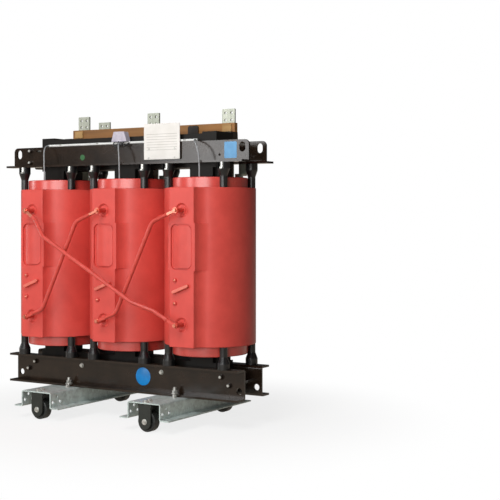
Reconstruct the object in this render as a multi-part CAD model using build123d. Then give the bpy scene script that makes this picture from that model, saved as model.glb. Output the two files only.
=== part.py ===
from build123d import *
import math
import os

# A three-phase cast-resin dry-type transformer on rollers.
# X runs along the core, the high-voltage side faces -Y, and Z = 0 is the floor.
# All lengths are millimetres.

# Laminated core: three limbs between two yokes, with a strap over each end
limb_width = 170.0
core_depth = 150.0
limb_step = 22.0
yoke_height = 165.0
yoke_lift = 4.0
strap_width = 83.0
strap_thickness = 9.0

# Windings, both concentric with their limb, with an air duct between them
limb_clearance = 31.83
lv_wall = 53.0
lv_overhang = 50.0
lv_lift = 36.0
lv_headroom = 50.0
lv_rim_round = 5.0
winding_duct = 13.0
hv_wall = 27.0
hv_height = 761.0
hv_rim_round = 4.0
winding_gap = 18.0

# Flat pilaster cast on the front of each high-voltage winding
pad_width = 140.0
pad_proud = 25.0
pad_draft_share = 0.27
pad_root_round = 14.0
pad_corner_round = 6.0
band_width = 154.0
band_height_share = 0.297
panel_width = 104.0
panel_height_share = 0.263
panel_centre_share = 0.627
panel_proud = 4.0
panel_corner = 20.0
groove_width = 9.0
groove_depth = 8.0
dish_diameter = 70.0
dish_floor_diameter = 54.0
dish_depth = 9.0
upper_terminal_drop = 110.0
lower_terminal_rise = 108.0

# Tapping studs below the panel: three in a column and one beside them, which
# a link joins to the middle one
tap_column_offset = 35.0
tap_top_share = 0.419
tap_pitch = 55.0
tap_stud_diameter = 20.0
tap_stud_proud = 9.0
tap_stud_round = 4.0
link_width = 16.0
link_thickness = 9.0
link_round = 3.0
link_overlap = 12.0

# Delta rods and the studs that hold them
stud_diameter = 22.0
stud_length = 50.0
lug_diameter = 28.0
lug_thickness = 12.0
lug_shank_diameter = 17.0
lug_shank_length = 54.0
rod_diameter = 20.0
rod_bend_radius = 60.0
short_top_run = 136.0
short_top_drop = 54.0
short_foot_run = 113.0
short_foot_rise = 43.0
long_top_run = 63.0
long_top_drop = 45.0
long_upper_run = 151.0
long_upper_drop = 130.0
long_lower_run = 230.0
long_lower_rise = 104.0
long_foot_run = 128.0
long_foot_rise = 64.0
long_bow = 39.0

# Bottle-shaped posts that carry and hold down the windings. The upper ones
# have a jack screw in a notch at the front of the head.
post_angle = 38.7
post_clearance = 1.0
post_neck_diameter = 38.0
post_head_diameter = 60.0
post_neck_share = 0.46
post_cone_share = 0.27
post_round = 10.0
post_notch_width = 32.0
jack_screw_diameter = 20.0
jack_screw_length = 32.0
jack_screw_gap = 3.0

# Folded steel clamps on both faces of the yokes
clamp_thickness = 10.0
clamp_bend_radius = 14.0
flange_lip = 19.0
upper_clamp_overhang = 189.0
upper_clamp_height = 108.0
upper_clamp_drop = 37.0
ear_corner_radius = 24.0
lifting_slot_width = 34.0
lifting_slot_height = 48.0
lifting_slot_inset = 36.0
lifting_slot_drop = 35.0
web_slot_length = 36.0
web_slot_height = 9.0
web_slot_clear = 15.0
web_slot_drop = 20.0
web_hole_diameter = 12.0
web_hole_clear = 24.0
web_hole_drop = 70.0
lower_clamp_overhang = 164.0
lower_clamp_height = 148.0
haulage_hole_diameter = 32.0
haulage_hole_inset = 29.0
haulage_hole_height = 44.0

# Through bolts that tie the front and back clamps together beyond the core
tie_diameter = 14.0
upper_tie_clear = 72.0
upper_tie_drop_first = 18.0
upper_tie_drop_second = 80.0
lower_tie_clear_first = 81.0
lower_tie_clear_second = 35.0
lower_tie_height_first = 68.0
lower_tie_height_second = 106.0

# Low-voltage bars, their wooden support beam and its feet
bar_width = 75.0
bar_shank_width = 55.0
bar_thickness = 10.0
bar_setback = 19.0
bar_corner_round = 4.0
bar_top_above_yoke = 139.0
bar_hole_diameter = 14.0
bar_hole_pitch = 36.0
bar_hole_margin = 20.0
beam_overhang = 54.0
beam_height = 48.0
beam_thickness = 26.0
beam_edge = 2.0
beam_lift_above_yoke = 17.0
foot_inset = 12.0
beam_foot_width = 62.0
beam_foot_top_width = 50.0
neutral_offset = 351.0
neutral_drop = 32.0
neutral_gap = 20.0
collector_height = 50.0
collector_lift = 92.0
neutral_link_width = 42.0
neutral_link_offset = 70.0
neutral_link_setback = 25.0
neutral_link_rise = 24.0

# Rating plate, sensor conduit, terminal box and leads on the front upper clamp
plate_width = 217.0
plate_height = 178.0
plate_thickness = 3.0
plate_corner = 4.0
plate_offset = 243.0
plate_below_top = 84.0
plate_spacer_width = 24.0
plate_spacer_depth = 8.0
plate_spacer_inset = 30.0
plate_spacer_height = 60.0
conduit_diameter = 12.0
conduit_gap = 1.0
conduit_start = -503.0
conduit_end = 447.0
conduit_inset = 6.0
box_base_width = 96.0
box_top_width = 66.0
box_height = 50.0
box_depth = 34.0
box_offset = -14.0
box_corner_round = 6.0
lead_diameter = 7.0
lead_gap = 5.0
lead_bend_share = 0.42
lead_hang_middle = 26.0
lead_hang_right = 40.0
lead_drift_shares = (0.0, 0.0, 0.55, 0.92, 1.0, 1.0)
lead_reach_shares = (0.0, 0.3, 0.8, 1.0, 1.0, 1.0)
lead_drop_shares = (0.0, 0.0, 0.12, 0.36, 0.66, 1.0)

# Skids: folded hat sections that run front to back under the lower clamps
skid_gauge = 670.0
skid_length = 736.0
skid_width = 191.0
skid_height = 82.0
skid_thickness = 6.0
skid_bend_radius = 4.0
skid_lip_width = 48.0
skid_clearance = 60.0
wall_hole_diameter = 16.0
wall_hole_inset = 46.0
wall_hole_spread = 27.0
wall_hole_lift = 32.0
wall_hole_rise = 26.0

# Rollers in forked brackets under the ends of the skids
roller_diameter = 100.0
roller_width = 44.0
roller_edge = 4.0
roller_hub_diameter = 44.0
roller_recess = 5.0
axle_diameter = 20.0
axle_running_gap = 0.05
collar_diameter = 32.0
collar_running_gap = 0.3
fork_gap = 56.0
fork_thickness = 8.0
fork_width = 74.0
fork_nose_radius = 35.0
fork_inset = 6.0
axle_overhang = 6.0

# One overrun for every through cut
overrun = 20.0

# Radii, pitch and levels that follow from the sizes above
lv_inner_radius = limb_clearance + max(
    math.hypot(limb_width / 2, core_depth / 2 - limb_step),
    math.hypot(limb_width / 2 - limb_step, core_depth / 2))
lv_outer_radius = lv_inner_radius + lv_wall
hv_inner_radius = lv_outer_radius + winding_duct
hv_outer_radius = hv_inner_radius + hv_wall
pad_reach = hv_outer_radius + pad_proud
limb_pitch = 2 * hv_outer_radius + winding_gap
skid_top = skid_clearance + skid_height
lower_clamp_top = skid_top + lower_clamp_height
lower_yoke_bottom = skid_top + yoke_lift
lower_yoke_top = lower_yoke_bottom + yoke_height
lv_bottom = lower_yoke_top + lv_lift
hv_bottom = lv_bottom + lv_overhang
hv_top = hv_bottom + hv_height
lv_top = hv_top + lv_overhang
upper_yoke_bottom = lv_top + lv_headroom
upper_yoke_top = upper_yoke_bottom + yoke_height
upper_clamp_top = upper_yoke_top - upper_clamp_drop
upper_clamp_bottom = upper_clamp_top - upper_clamp_height
clamp_face = core_depth / 2 + clamp_thickness
yoke_half = limb_pitch + limb_width / 2
axle_level = roller_diameter / 2
limb_places = {"left": -limb_pitch, "middle": 0.0, "right": limb_pitch}

# The posts stand on the rim of the outer winding, just clear of the inner one.
post_circle = lv_outer_radius + post_clearance + post_neck_diameter / 2
post_along = post_circle * math.cos(math.radians(post_angle))
post_out = post_circle * math.sin(math.radians(post_angle))
flange_reach = post_out + flange_lip

nodes = {}


def block(x0, x1, y0, y1, z0, z1):
    """A box between two corners."""
    return Pos((x0 + x1) / 2, (y0 + y1) / 2, (z0 + z1) / 2) * Box(
        x1 - x0, y1 - y0, z1 - z0)


def along_y(radius, length, x, y, z):
    """A round bar along Y, centred on a point."""
    return Pos(x, y, z) * Rot(90, 0, 0) * Cylinder(radius, length)


def front_plane(y):
    """A drawing plane that faces the front, with X across and Z up."""
    return Plane(origin=(0, y, 0), x_dir=(1, 0, 0), z_dir=(0, -1, 0))


def side_plane(x):
    """A drawing plane with Y across and Z up."""
    return Plane(origin=(x, 0, 0), x_dir=(0, 1, 0), z_dir=(1, 0, 0))


def mirrored_y(shape):
    return mirror(shape, about=Plane.XZ)


def corners_at(face, places):
    """The corners of a drawn face that lie at these places."""
    return [v for v in face.vertices()
            if any(math.hypot(v.X - x, v.Y - y) < overrun / 100
                   for x, y in places)]


def bent_path(points, radius):
    """Straight runs joined by tangent arcs, through points in space."""
    points = [Vector(*p) for p in points]
    edges = []
    start = points[0]
    for before, corner, after in zip(points, points[1:], points[2:]):
        back = (before - corner).normalized()
        ahead = (after - corner).normalized()
        half = math.radians(back.get_angle(ahead)) / 2
        reach = radius / math.tan(half)
        middle = (back + ahead).normalized()
        first = corner + back * reach
        last = corner + ahead * reach
        centre = corner + middle * (radius / math.sin(half))
        edges.append(Line(start, first))
        edges.append(ThreePointArc(first, centre - middle * radius, last))
        start = last
    edges.append(Line(start, points[-1]))
    return Wire(edges)


def round_bar(points, radius, diameter):
    """A round bar swept along bent_path."""
    path = bent_path(points, radius)
    section = Plane(origin=path @ 0, z_dir=path % 0) * Circle(diameter / 2)
    return sweep(section, path=path)


# Core. Each limb has a stepped section, as stacked sheets have.
limb_section = Rectangle(limb_width, core_depth - 2 * limb_step) + Rectangle(
    limb_width - 2 * limb_step, core_depth)
for side, x in limb_places.items():
    nodes["core_limb_" + side] = Pos(x, 0, lower_yoke_top) * extrude(
        limb_section, upper_yoke_bottom - lower_yoke_top)
nodes["core_yoke_upper"] = block(
    -yoke_half, yoke_half, -core_depth / 2, core_depth / 2,
    upper_yoke_bottom, upper_yoke_top)
nodes["core_yoke_lower"] = block(
    -yoke_half, yoke_half, -core_depth / 2, core_depth / 2,
    lower_yoke_bottom, lower_yoke_top)
strap = block(yoke_half - strap_width, yoke_half, -core_depth / 2,
              core_depth / 2, upper_yoke_top, upper_yoke_top + strap_thickness)
nodes["yoke_straps"] = Compound(
    children=[strap, mirror(strap, about=Plane.YZ)])

# Low-voltage windings: plain tubes with rounded outer rims
lv_section = Circle(lv_outer_radius) - Circle(lv_inner_radius)
lv_tube = extrude(lv_section, lv_top - lv_bottom)
lv_rims = lv_tube.edges().filter_by(GeomType.CIRCLE).filter_by(
    lambda e: e.radius > lv_inner_radius + lv_wall / 2)
lv_tube = fillet(lv_rims, lv_rim_round)
for side, x in limb_places.items():
    nodes["lv_winding_" + side] = Pos(x, 0, lv_bottom) * lv_tube

# High-voltage windings: a tube with a flat pilaster on its front. The sides of
# the pilaster lean outwards towards the tube, so that it leaves its mould, and
# its roots, corners and rims are rounded.


def drafted(width, back):
    """A flat front of this width whose sides lean outwards to the back level."""
    spread = width / 2 + (pad_reach + back) * pad_draft_share
    return make_face(Polyline(
        (-width / 2, -pad_reach), (width / 2, -pad_reach), (spread, back),
        (-spread, back), close=True))


pilaster = drafted(pad_width, 0)
hv_outline = Circle(hv_outer_radius) + pilaster
roots = [v for v in hv_outline.vertices() if v.Y > -pad_reach + pad_root_round]
hv_outline = fillet(roots, pad_root_round)
hv_outline = fillet(corners_at(hv_outline, [
    (sx * pad_width / 2, -pad_reach) for sx in (-1, 1)]), pad_corner_round)
hv_tube = extrude(hv_outline, hv_height)
hv_levels = hv_tube.edges().group_by(Axis.Z)
hv_tube = fillet(hv_levels[0] + hv_levels[-1], hv_rim_round)

# A wider band carries a panel that bulges out of a shallow recess.
panel_centre_height = hv_height * panel_centre_share
panel_height = hv_height * panel_height_share
band_height = hv_height * band_height_share
band = drafted(band_width, -hv_inner_radius)
band = fillet(corners_at(band, [
    (sx * band_width / 2, -pad_reach) for sx in (-1, 1)]), pad_corner_round)
hv_tube += Pos(0, 0, panel_centre_height - band_height / 2) * extrude(
    band, band_height)
hv_tube -= Pos(0, 0, -overrun) * extrude(
    Circle(hv_inner_radius), hv_height + 2 * overrun)
recess_floor = -pad_reach + groove_depth
groove_plane = front_plane(recess_floor) * Pos(0, panel_centre_height)
hv_tube -= extrude(groove_plane * RectangleRounded(
    panel_width + 2 * groove_width, panel_height + 2 * groove_width,
    panel_corner + groove_width), groove_depth + overrun)
panel = extrude(groove_plane * RectangleRounded(
    panel_width, panel_height, panel_corner), groove_depth + panel_proud)
bulge_half = (panel_width + groove_width) / 2
bulge = make_face([
    ThreePointArc((-bulge_half, recess_floor), (0, -pad_reach - panel_proud),
                  (bulge_half, recess_floor)),
    Line((bulge_half, recess_floor), (-bulge_half, recess_floor))])
hv_tube += panel & Pos(0, 0, panel_centre_height - panel_height / 2) * extrude(
    bulge, panel_height)

# Each terminal stands in a shallow dish, and the tapping studs are domed.
upper_terminal_height = hv_height - upper_terminal_drop
for height in (upper_terminal_height, lower_terminal_rise):
    hv_tube -= Pos(0, -pad_reach + dish_depth / 2, height) * Rot(
        90, 0, 0) * Cone(dish_floor_diameter / 2, dish_diameter / 2, dish_depth)
tap_top_height = hv_height * tap_top_share
left_rows = [tap_top_height - i * tap_pitch for i in range(3)]
right_row = tap_top_height - tap_pitch / 2
tap_places = [(-tap_column_offset, h) for h in left_rows]
tap_places.append((tap_column_offset, right_row))
for x, height in tap_places:
    tap = along_y(tap_stud_diameter / 2, tap_stud_proud, x,
                  -pad_reach - tap_stud_proud / 2, height)
    rim = tap.edges().filter_by(GeomType.CIRCLE).sort_by(Axis.Y)[0]
    hv_tube += fillet(rim, tap_stud_round)
for side, x in limb_places.items():
    nodes["hv_winding_" + side] = Pos(x, 0, hv_bottom) * hv_tube

# One link on each winding joins the middle stud of the column to the lone one.
link_from = Vector(-tap_column_offset, 0, left_rows[1])
link_to = Vector(tap_column_offset, 0, right_row)
link_run = link_to - link_from
link_plane = Plane(
    origin=(link_from + link_to) * 0.5
    + Vector(0, -pad_reach - tap_stud_proud, hv_bottom),
    x_dir=link_run.normalized(), z_dir=(0, -1, 0))
link = extrude(link_plane * SlotOverall(
    link_run.length + 2 * link_overlap, link_width), link_thickness)
link = fillet(link.faces().sort_by(Axis.Y)[0].edges(), link_round)
nodes["tap_links"] = Compound(
    children=[Pos(x, 0, 0) * link for x in limb_places.values()])

# Delta rods. Two short ones run from the top of one winding to the foot of
# the next on its left, and a long one bows out to cross in front of them.
dish_floor = -pad_reach + dish_depth
lug_level = dish_floor - stud_length - lug_thickness / 2
upper_terminal = hv_bottom + upper_terminal_height
lower_terminal = hv_bottom + lower_terminal_rise
studs = []
lugs = []


def terminal(x, z, towards):
    """A stud from the floor of its dish, and a lug on it: an eye with a shank
    that points along the rod. Returns where the shank ends."""
    studs.append(along_y(stud_diameter / 2, stud_length, x,
                         dish_floor - stud_length / 2, z))
    eye = Vector(x, lug_level, z)
    ring = along_y(lug_diameter / 2, lug_thickness, x, lug_level, z)
    heading = (Vector(*towards) - eye).normalized()
    shank = Plane(origin=eye, z_dir=heading) * Cylinder(
        lug_shank_diameter / 2, lug_shank_length,
        align=(Align.CENTER, Align.CENTER, Align.MIN))
    slab = Pos(x, lug_level, z) * Box(
        2 * lug_shank_length + overrun, lug_thickness,
        2 * lug_shank_length + overrun)
    lugs.append(ring + (shank & slab))
    return eye + heading * lug_shank_length


def delta_rod(name, top, foot, bends):
    """A rod from an upper terminal to a lower one, through its bends."""
    start = terminal(top, upper_terminal, bends[0])
    end = terminal(foot, lower_terminal, bends[-1])
    nodes[name] = round_bar([start] + bends + [end],
                            rod_bend_radius, rod_diameter)


for side, top, foot in (("left", 0.0, -limb_pitch),
                        ("right", limb_pitch, 0.0)):
    delta_rod("delta_rod_" + side, top, foot, [
        (top - short_top_run, lug_level, upper_terminal - short_top_drop),
        (foot + short_foot_run, lug_level, lower_terminal + short_foot_rise)])
bow_level = lug_level - long_bow
delta_rod("delta_rod_long", -limb_pitch, limb_pitch, [
    (-limb_pitch + long_top_run, lug_level, upper_terminal - long_top_drop),
    (-limb_pitch + long_upper_run, bow_level,
     upper_terminal - long_upper_drop),
    (limb_pitch - long_lower_run, bow_level,
     lower_terminal + long_lower_rise),
    (limb_pitch - long_foot_run, lug_level,
     lower_terminal + long_foot_rise)])
nodes["terminal_studs"] = Compound(children=studs)
nodes["rod_lugs"] = Compound(children=lugs)

# Upper clamps: an angle whose flange turns outwards at the bottom, with ears
# that carry the lifting slots. One clamp serves on both sides, turned round.
upper_half = yoke_half + upper_clamp_overhang
angle = make_face(Polyline(
    (-core_depth / 2, upper_clamp_top),
    (-core_depth / 2, upper_clamp_bottom),
    (-flange_reach, upper_clamp_bottom),
    (-flange_reach, upper_clamp_bottom + clamp_thickness),
    (-clamp_face, upper_clamp_bottom + clamp_thickness),
    (-clamp_face, upper_clamp_top),
    close=True))
angle = fillet(corners_at(angle, [(-core_depth / 2, upper_clamp_bottom)]),
               clamp_bend_radius)
upper_clamp = extrude(side_plane(-upper_half) * angle, 2 * upper_half)
corners = upper_clamp.edges().filter_by(Axis.Y).filter_by(
    lambda e: e.center().Z > upper_clamp_top - clamp_thickness / 2)
upper_clamp = fillet(corners, ear_corner_radius)
web_depth = clamp_thickness + 2 * overrun
web_front = front_plane(-core_depth / 2 + overrun)
slot_level = upper_clamp_top - lifting_slot_drop
for sx in (-1, 1):
    upper_clamp -= extrude(
        web_front * Pos(sx * (upper_half - lifting_slot_inset), slot_level)
        * Rot(0, 0, 90) * SlotOverall(lifting_slot_height, lifting_slot_width),
        web_depth)
upper_clamp -= extrude(
    web_front * Pos(-yoke_half - web_slot_clear,
                    upper_clamp_top - web_slot_drop)
    * SlotOverall(web_slot_length, web_slot_height), web_depth)
upper_clamp -= along_y(web_hole_diameter / 2, web_depth,
                       yoke_half + web_hole_clear, -clamp_face,
                       upper_clamp_top - web_hole_drop)
upper_ties = [(sx * (yoke_half + upper_tie_clear), upper_clamp_top - drop)
              for sx in (-1, 1)
              for drop in (upper_tie_drop_first, upper_tie_drop_second)]
for x, z in upper_ties:
    upper_clamp -= along_y(tie_diameter / 2, web_depth, x, -clamp_face, z)
nodes["upper_clamp_front"] = upper_clamp
nodes["upper_clamp_back"] = Rot(0, 0, 180) * upper_clamp

# Lower clamps: channels with both flanges outwards.
lower_half = yoke_half + lower_clamp_overhang
lower_clamp_bottom = skid_top
channel = make_face(Polyline(
    (-core_depth / 2, lower_clamp_top),
    (-core_depth / 2, lower_clamp_bottom),
    (-flange_reach, lower_clamp_bottom),
    (-flange_reach, lower_clamp_bottom + clamp_thickness),
    (-clamp_face, lower_clamp_bottom + clamp_thickness),
    (-clamp_face, lower_clamp_top - clamp_thickness),
    (-flange_reach, lower_clamp_top - clamp_thickness),
    (-flange_reach, lower_clamp_top),
    close=True))
channel = fillet(corners_at(channel, [
    (-core_depth / 2, lower_clamp_top),
    (-core_depth / 2, lower_clamp_bottom)]), clamp_bend_radius)
lower_clamp = extrude(side_plane(-lower_half) * channel, 2 * lower_half)
haulage_places = [(sx * (lower_half - haulage_hole_inset),
                   lower_clamp_bottom + haulage_hole_height)
                  for sx in (-1, 1)]
for x, z in haulage_places:
    lower_clamp -= along_y(haulage_hole_diameter / 2, web_depth, x,
                           -clamp_face, z)
lower_ties = [(sx * (yoke_half + clear), lower_clamp_bottom + height)
              for sx in (-1, 1)
              for clear, height in (
                  (lower_tie_clear_first, lower_tie_height_first),
                  (lower_tie_clear_second, lower_tie_height_second))]
for x, z in lower_ties:
    lower_clamp -= along_y(tie_diameter / 2, web_depth, x, -clamp_face, z)
nodes["lower_clamp_front"] = lower_clamp
nodes["lower_clamp_back"] = mirrored_y(lower_clamp)

# Tie bolts run from the outer face of one clamp to that of the other.
nodes["clamp_ties"] = Compound(children=[
    along_y(tie_diameter / 2, 2 * clamp_face, x, 0, z)
    for x, z in upper_ties + lower_ties])


def winding_post(rim_level, flange_level):
    """A turned post from a winding's rim to a flange: neck, cone and head."""
    rise = flange_level - rim_level
    neck = post_neck_diameter / 2
    head = post_head_diameter / 2
    cone_start = (neck, rim_level + rise * post_neck_share)
    cone_end = (head, rim_level
                + rise * (post_neck_share + post_cone_share))
    profile = make_face(Polyline(
        (0, rim_level), (neck, rim_level), cone_start, cone_end,
        (head, flange_level), (0, flange_level), close=True))
    profile = fillet(corners_at(profile, [cone_start, cone_end]), post_round)
    return revolve(front_plane(0) * profile, Axis.Z)


screw_seat = upper_clamp_bottom - jack_screw_length
upper_post = winding_post(hv_top, upper_clamp_bottom) - block(
    -post_notch_width / 2, post_notch_width / 2, -post_head_diameter, 0,
    screw_seat, upper_clamp_bottom + overrun)
lower_post = winding_post(hv_bottom, lower_clamp_top)
jack_screw = Pos(0, -jack_screw_diameter / 2 - jack_screw_gap,
                 (screw_seat + upper_clamp_bottom) / 2) * Cylinder(
    jack_screw_diameter / 2, jack_screw_length)
post_places = [Pos(x + sx * post_along, -post_out, 0)
               for x in limb_places.values() for sx in (-1, 1)]
front_posts = [p * one for p in post_places for one in (upper_post, lower_post)]
front_screws = [p * jack_screw for p in post_places]
nodes["winding_posts"] = Compound(
    children=front_posts + [mirrored_y(p) for p in front_posts])
nodes["jack_screws"] = Compound(
    children=front_screws + [mirrored_y(s) for s in front_screws])

# Low-voltage bars: a shank that rises from the back of each inner tube and
# widens, behind the support beam, to a flat palm.
bar_top = upper_yoke_top + bar_top_above_yoke
beam_bottom = upper_yoke_top + beam_lift_above_yoke
beam_top = beam_bottom + beam_height
beam_back = lv_outer_radius - bar_setback


def palm_holes(x, top, y):
    """Four holes in two rows below the top of a palm."""
    level = top - bar_hole_margin
    return [along_y(bar_hole_diameter / 2, bar_thickness + 2 * overrun,
                    x + sx * bar_hole_pitch / 2, y, level - row * bar_hole_pitch)
            for sx in (-1, 1) for row in (0, 1)]


palm_half, shank_half = bar_width / 2, bar_shank_width / 2
bar_outline = make_face(Polyline(
    (-shank_half, lv_top), (shank_half, lv_top), (shank_half, beam_bottom),
    (palm_half, beam_top), (palm_half, bar_top), (-palm_half, bar_top),
    (-palm_half, beam_top), (-shank_half, beam_bottom), close=True))
bar_outline = fillet(corners_at(bar_outline, [
    (palm_half, bar_top), (-palm_half, bar_top)]), bar_corner_round)
for side, x in limb_places.items():
    bar = Pos(x, 0, 0) * extrude(
        front_plane(beam_back + bar_thickness) * bar_outline, bar_thickness)
    for hole in palm_holes(x, bar_top, beam_back + bar_thickness / 2):
        bar -= hole
    nodes["lv_bar_" + side] = bar

beam_half = limb_pitch + beam_overhang
beam = block(-beam_half, beam_half, beam_back - beam_thickness, beam_back,
             beam_bottom, beam_top)
nodes["lv_support_beam"] = chamfer(
    beam.edges().filter_by(Axis.X).sort_by(Axis.Z)[-2:], beam_edge)

# Feet of the beam stand on the flange of the back clamp, against its web.
flange_top = upper_clamp_bottom + clamp_thickness
foot_outline = make_face(Polyline(
    (-beam_foot_width / 2, flange_top), (beam_foot_width / 2, flange_top),
    (beam_foot_top_width / 2, beam_bottom),
    (-beam_foot_top_width / 2, beam_bottom), close=True))
foot = extrude(front_plane(flange_reach) * foot_outline,
               flange_reach - clamp_face)
nodes["beam_feet"] = Compound(children=[
    Pos(sx * (beam_half - foot_inset), 0, 0) * foot for sx in (-1, 1)])

# Neutral: a collector behind the phase bars with one palm, joined to each
# inner tube by a folded link.
neutral_front = beam_back + bar_thickness + neutral_gap
collector_low = lv_top + collector_lift
collector_top = collector_low + collector_height
neutral_top = bar_top - neutral_drop
collector_right = limb_pitch + neutral_link_offset + neutral_link_width / 2
collector_left = -limb_pitch + neutral_link_offset - neutral_link_width / 2
palm_left = -neutral_offset - palm_half
palm_right = -neutral_offset + palm_half
neutral_outline = make_face(Polyline(
    (min(collector_left, palm_left), collector_low),
    (collector_right, collector_low), (collector_right, collector_top),
    (palm_right, collector_top), (palm_right, neutral_top),
    (palm_left, neutral_top), (palm_left, collector_top),
    (min(collector_left, palm_left), collector_top), close=True))
neutral = extrude(front_plane(neutral_front + bar_thickness)
                  * neutral_outline, bar_thickness)
for hole in palm_holes(-neutral_offset, neutral_top,
                       neutral_front + bar_thickness / 2):
    neutral -= hole
nodes["lv_neutral_bar"] = neutral
link_back = lv_outer_radius - neutral_link_setback
fold = make_face(Polyline(
    (link_back - bar_thickness, lv_top),
    (link_back - bar_thickness, lv_top + neutral_link_rise),
    (neutral_front - bar_thickness, lv_top + neutral_link_rise),
    (neutral_front - bar_thickness, collector_top),
    (neutral_front, collector_top),
    (neutral_front, lv_top + neutral_link_rise - bar_thickness),
    (link_back, lv_top + neutral_link_rise - bar_thickness),
    (link_back, lv_top),
    close=True))
neutral_link = extrude(side_plane(-neutral_link_width / 2) * fold,
                       neutral_link_width)
nodes["neutral_links"] = Compound(children=[
    Pos(x + neutral_link_offset, 0, 0) * neutral_link
    for x in limb_places.values()])
nodes["neutral_standoff"] = block(
    -neutral_offset - beam_thickness / 2, -neutral_offset + beam_thickness / 2,
    beam_back, neutral_front, beam_bottom, beam_top)

# Rating plate on two spacers, standing above the front clamp
plate_low = upper_clamp_top - plate_below_top
plate_back = -clamp_face - plate_spacer_depth
plate = extrude(
    front_plane(plate_back) * Pos(plate_offset, plate_low + plate_height / 2)
    * RectangleRounded(plate_width, plate_height, plate_corner),
    plate_thickness)
for sx in (-1, 1):
    spacer_x = plate_offset + sx * (plate_width / 2 - plate_spacer_inset)
    plate += block(spacer_x - plate_spacer_width / 2,
                   spacer_x + plate_spacer_width / 2,
                   plate_back, -clamp_face,
                   plate_low, plate_low + plate_spacer_height)
nodes["rating_plate"] = plate

# Sensor conduit on the top edge of the front clamp, its terminal box and the
# three leads that drop in front of the flange to the inner tubes
conduit_y = -core_depth / 2 - conduit_gap - conduit_diameter / 2
conduit_z = upper_clamp_top + conduit_diameter / 2
nodes["sensor_conduit"] = Pos((conduit_start + conduit_end) / 2, conduit_y,
                              conduit_z) * Rot(0, 90, 0) * Cylinder(
    conduit_diameter / 2, conduit_end - conduit_start)
box_low = upper_clamp_top + conduit_diameter
box_top = box_low + box_height
box_outline = make_face(Polyline(
    (-box_base_width / 2, box_low), (box_base_width / 2, box_low),
    (box_top_width / 2, box_top), (-box_top_width / 2, box_top), close=True))
box_outline = fillet(corners_at(box_outline, [
    (sx * box_top_width / 2, box_top) for sx in (-1, 1)]), box_corner_round)
nodes["sensor_box"] = Pos(box_offset, 0, 0) * extrude(
    front_plane(-core_depth / 2) * box_outline, box_depth)
lead_back = conduit_y - conduit_diameter / 2
lead_front = -flange_reach - lead_gap - lead_diameter / 2
leads = []
for start, hang in (
        (conduit_start + conduit_inset, limb_places["left"]),
        (box_offset, limb_places["middle"] + lead_hang_middle),
        (conduit_end - conduit_inset, limb_places["right"] + lead_hang_right)):
    leads.append(round_bar(
        [(start + (hang - start) * drift,
          lead_back + (lead_front - lead_back) * reach,
          conduit_z + (lv_top - conduit_z) * drop)
         for drift, reach, drop in zip(
             lead_drift_shares, lead_reach_shares, lead_drop_shares)],
        (lead_back - lead_front) * lead_bend_share, lead_diameter))
nodes["sensor_leads"] = Compound(children=leads)

# Skids: folded hat sections, open underneath, with holes near the ends
half = skid_width / 2
inner = half - skid_thickness
lip = half + skid_lip_width
low = skid_clearance
lip_top = low + skid_thickness
roof = skid_top - skid_thickness
hat = make_face(Polyline(
    (-lip, low), (-lip, lip_top), (-half, lip_top), (-half, skid_top),
    (half, skid_top), (half, lip_top), (lip, lip_top), (lip, low),
    (inner, low), (inner, roof), (-inner, roof), (-inner, low), close=True))
hat = fillet(corners_at(hat, [
    (sx * x, z) for sx in (-1, 1)
    for x, z in ((half, lip_top), (inner, roof))]), skid_bend_radius)
hat = fillet(corners_at(hat, [
    (sx * x, z) for sx in (-1, 1)
    for x, z in ((half, skid_top), (inner, low))]),
    skid_bend_radius + skid_thickness)
skid = extrude(front_plane(skid_length / 2) * hat, skid_length)
wall_holes = [(wall_hole_inset, wall_hole_lift + wall_hole_rise)]
wall_holes += [(wall_hole_inset + sy * wall_hole_spread, wall_hole_lift)
               for sy in (-1, 1)]
for sy in (-1, 1):
    for inset, lift in wall_holes:
        skid -= Pos(0, sy * (skid_length / 2 - inset), low + lift) * Rot(
            0, 90, 0) * Cylinder(wall_hole_diameter / 2, 2 * lip)
skid_places = {"left": -skid_gauge / 2, "right": skid_gauge / 2}
for side, x in skid_places.items():
    nodes["skid_" + side] = Pos(x, 0, 0) * skid

# Roller brackets: a fork folded from plate, with the axle held in its cheeks
fork_outer = fork_gap + 2 * fork_thickness
cheek_outline = (
    Pos(0, axle_level) * Circle(fork_nose_radius)
    + Pos(0, (axle_level + roof) / 2) * Rectangle(
        2 * fork_nose_radius, roof - axle_level)
    + Pos(0, roof - fork_thickness) * Rectangle(
        fork_width, 2 * fork_thickness))
fork = extrude(front_plane(fork_outer / 2) * cheek_outline, fork_outer)
fork -= block(-fork_width, fork_width, -fork_gap / 2, fork_gap / 2,
              axle_level - fork_nose_radius - overrun,
              roof - fork_thickness)
fork -= along_y(axle_diameter / 2, fork_outer + 2 * overrun, 0, 0, axle_level)

# The axle is fixed in the fork; a collar on each side keeps the roller central.
axle = along_y(axle_diameter / 2, fork_outer + 2 * axle_overhang, 0, 0,
               axle_level)
collar_length = (fork_gap - roller_width) / 2 - collar_running_gap
for sy in (-1, 1):
    axle += along_y(collar_diameter / 2, collar_length, 0,
                    sy * (fork_gap - collar_length) / 2, axle_level)

# Rollers: a turned wheel with a recessed web between rim and hub
roller = along_y(roller_diameter / 2, roller_width, 0, 0, axle_level)
roller_rims = roller.edges().filter_by(GeomType.CIRCLE)
roller = chamfer(roller_rims, roller_edge)
rim_inner = (roller_diameter / 2 + roller_hub_diameter / 2) / 2 + roller_edge
for sy in (-1, 1):
    ring = along_y(rim_inner, roller_recess, 0,
                   sy * (roller_width - roller_recess) / 2, axle_level)
    ring -= along_y(roller_hub_diameter / 2, roller_recess + overrun, 0,
                    sy * (roller_width - roller_recess) / 2, axle_level)
    roller -= ring
roller -= along_y(axle_diameter / 2 + axle_running_gap,
                  roller_width + 2 * overrun, 0, 0, axle_level)

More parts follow.
